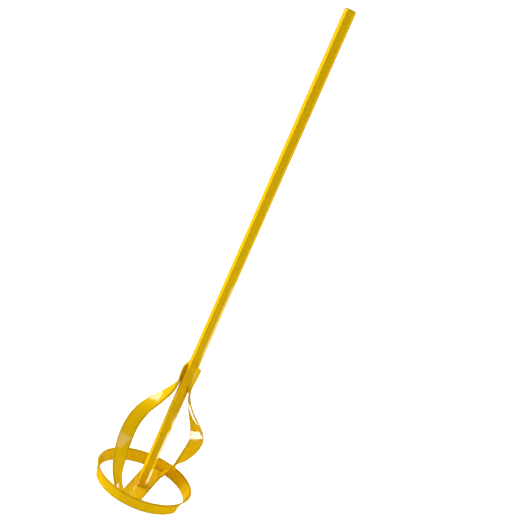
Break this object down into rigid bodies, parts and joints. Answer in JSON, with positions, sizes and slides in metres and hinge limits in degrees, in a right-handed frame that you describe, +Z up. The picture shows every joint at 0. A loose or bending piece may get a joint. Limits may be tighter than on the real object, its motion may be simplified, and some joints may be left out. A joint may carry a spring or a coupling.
{
  "type": "mixing paddle",
  "caption": "Painted steel mortar mixing paddle: hexagon shaft, twisted strip blades and a flat-bar base ring with a cross bar, for a hand drill chuck.",
  "frame": {"origin": "on the shaft's axis at the ring's bottom edge", "axes": "+Z up along the shaft to the shank, Y along the cross bar"},
  "size_m": [0.103, 0.103, 0.526],
  "materials": {
    "paint": "gloss yellow enamel over rolled steel",
    "weld_paint": "gloss yellow enamel over weld beads"
  },
  "bodies": {
    "root": {"hex_shaft": "paint", "base_ring": "paint", "cross_bar": "paint", "blade_1": "paint", "blade_2": "paint", "shaft_foot_weld": "weld_paint", "ring_seam_weld": "weld_paint", "bar_end_weld_1": "weld_paint", "bar_end_weld_2": "weld_paint", "blade_1_foot_weld": "weld_paint", "blade_2_foot_weld": "weld_paint", "blade_1_top_weld_a": "weld_paint", "blade_1_top_weld_b": "weld_paint", "blade_2_top_weld_a": "weld_paint", "blade_2_top_weld_b": "weld_paint"}
  },
  "joints": []
}
